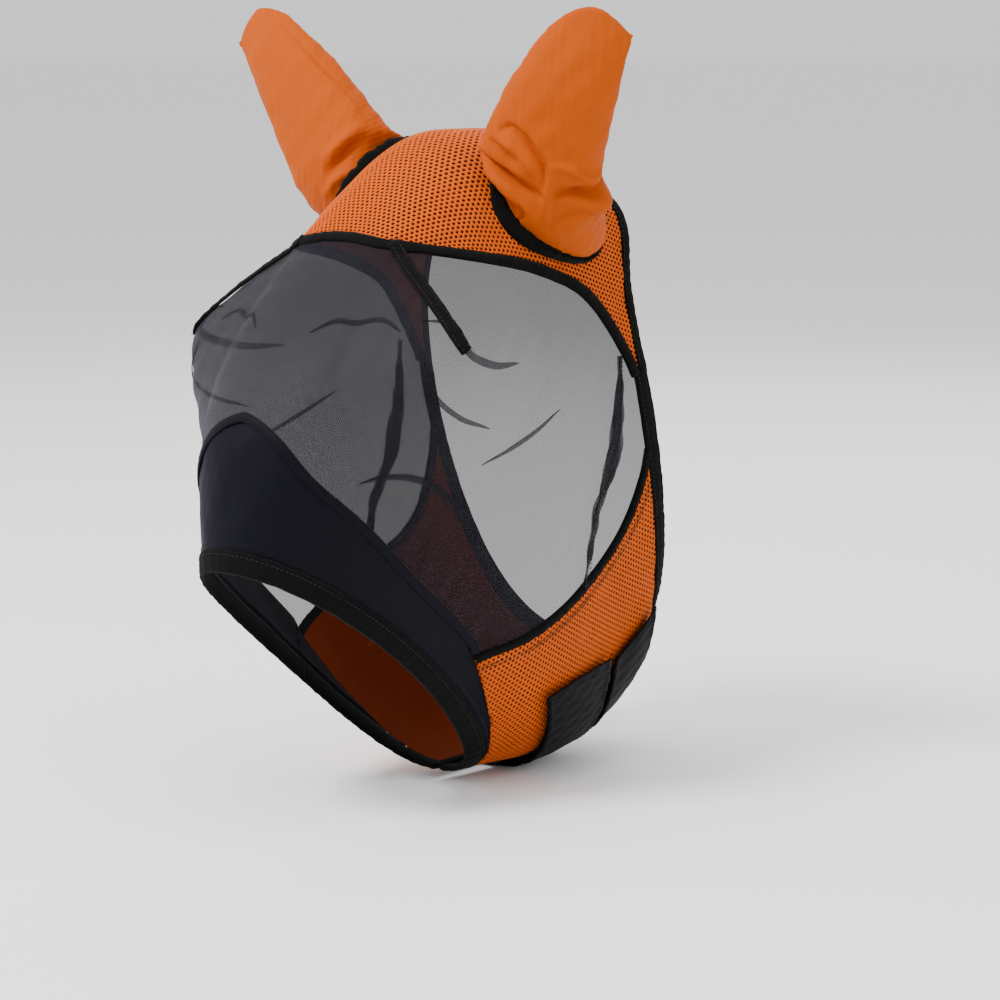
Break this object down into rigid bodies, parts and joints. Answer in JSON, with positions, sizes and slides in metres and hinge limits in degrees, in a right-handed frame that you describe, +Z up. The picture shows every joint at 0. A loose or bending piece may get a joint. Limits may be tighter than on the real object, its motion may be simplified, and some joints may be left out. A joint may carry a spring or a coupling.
{
  "type": "horse fly mask",
  "caption": "Horse fly mask with a sheer eye mesh, padded mesh crown and jaw, stretch nose panel, two ear covers and a hook-and-loop jaw closure.",
  "frame": {"origin": "the poll seat: under the middle of the crown, where the mask hangs on the horse's head", "axes": "+Z up, the horse faces -Y, +X towards the horse's left side"},
  "size_m": [0.3602, 0.4088, 0.5456],
  "materials": {
    "spacer_mesh": "padded three-layer spacer mesh, orange, with small round holes in staggered rows",
    "ear_stretch": "soft matte stretch knit, orange",
    "eye_mesh": "fine sheer black net that can be seen through",
    "nose_stretch": "smooth stretch fabric, navy black",
    "binding": "black fleece-backed binding, folded over the edges",
    "hook_tape": "black hook-and-loop tape with a cloth back"
  },
  "bodies": {
    "mask": {"brow_binding": "binding", "crown_panel": "spacer_mesh", "crown_rear_binding": "binding", "eye_mesh": "eye_mesh", "front_loop_patch": "hook_tape", "left_cheek_binding": "binding", "left_cheek_dart": "eye_mesh", "left_closing_edge": "binding", "left_dart_tape": "binding", "left_ear_gather": "ear_stretch", "left_ear_ring": "binding", "left_jaw_panel": "spacer_mesh", "left_throat_binding": "binding", "nose_hem_binding": "binding", "nose_panel": "nose_stretch", "rear_loop_patch": "hook_tape", "right_cheek_binding": "binding", "right_cheek_dart": "eye_mesh", "right_dart_tape": "binding", "right_ear_gather": "ear_stretch", "right_ear_ring": "binding", "right_jaw_panel": "spacer_mesh", "right_throat_binding": "binding"},
    "jaw_flap": {"right_jaw_flap": "spacer_mesh", "right_closing_edge": "binding", "right_lower_hem_binding": "binding", "right_lower_throat_binding": "binding", "front_tab_base": "hook_tape", "rear_tab_base": "hook_tape"},
    "front_tab": {"front_tab": "hook_tape", "front_hook_pad": "hook_tape"},
    "rear_tab": {"rear_tab": "hook_tape", "rear_hook_pad": "hook_tape"},
    "left_ear": {"left_ear_front": "ear_stretch", "left_ear_back": "ear_stretch"},
    "right_ear": {"right_ear_front": "ear_stretch", "right_ear_back": "ear_stretch"}
  },
  "joints": [
    {"name": "jaw_flap_fold", "type": "hinge", "parent": "mask", "child": "jaw_flap", "pos_m": [-0.10247, 0.15587, -0.3308], "axis": [-0.146, 0.8787, 0.4545], "range_deg": [0, 40]},
    {"name": "front_tab_peel", "type": "hinge", "parent": "jaw_flap", "child": "front_tab", "pos_m": [-0.01318, 0.08311, -0.45353], "axis": [-0.0097, 0.9932, 0.1162], "range_deg": [0, 100]},
    {"name": "rear_tab_peel", "type": "hinge", "parent": "jaw_flap", "child": "rear_tab", "pos_m": [-0.01245, 0.14905, -0.43421], "axis": [0.0047, 0.821, 0.5709], "range_deg": [0, 100]},
    {"name": "left_ear_tilt", "type": "hinge", "parent": "mask", "child": "left_ear", "pos_m": [0.0933, 0.0062, -0.019], "axis": [0.8297, 0.4412, -0.342], "range_deg": [-18, 18], "stiffness_Nm_per_rad": 0.4, "deforming": ["left_ear_gather"]},
    {"name": "right_ear_tilt", "type": "hinge", "parent": "mask", "child": "right_ear", "pos_m": [-0.1035, 0.0035, -0.0192], "axis": [0.8366, -0.0585, 0.5446], "range_deg": [-18, 18], "stiffness_Nm_per_rad": 0.4, "deforming": ["right_ear_gather"]}
  ]
}
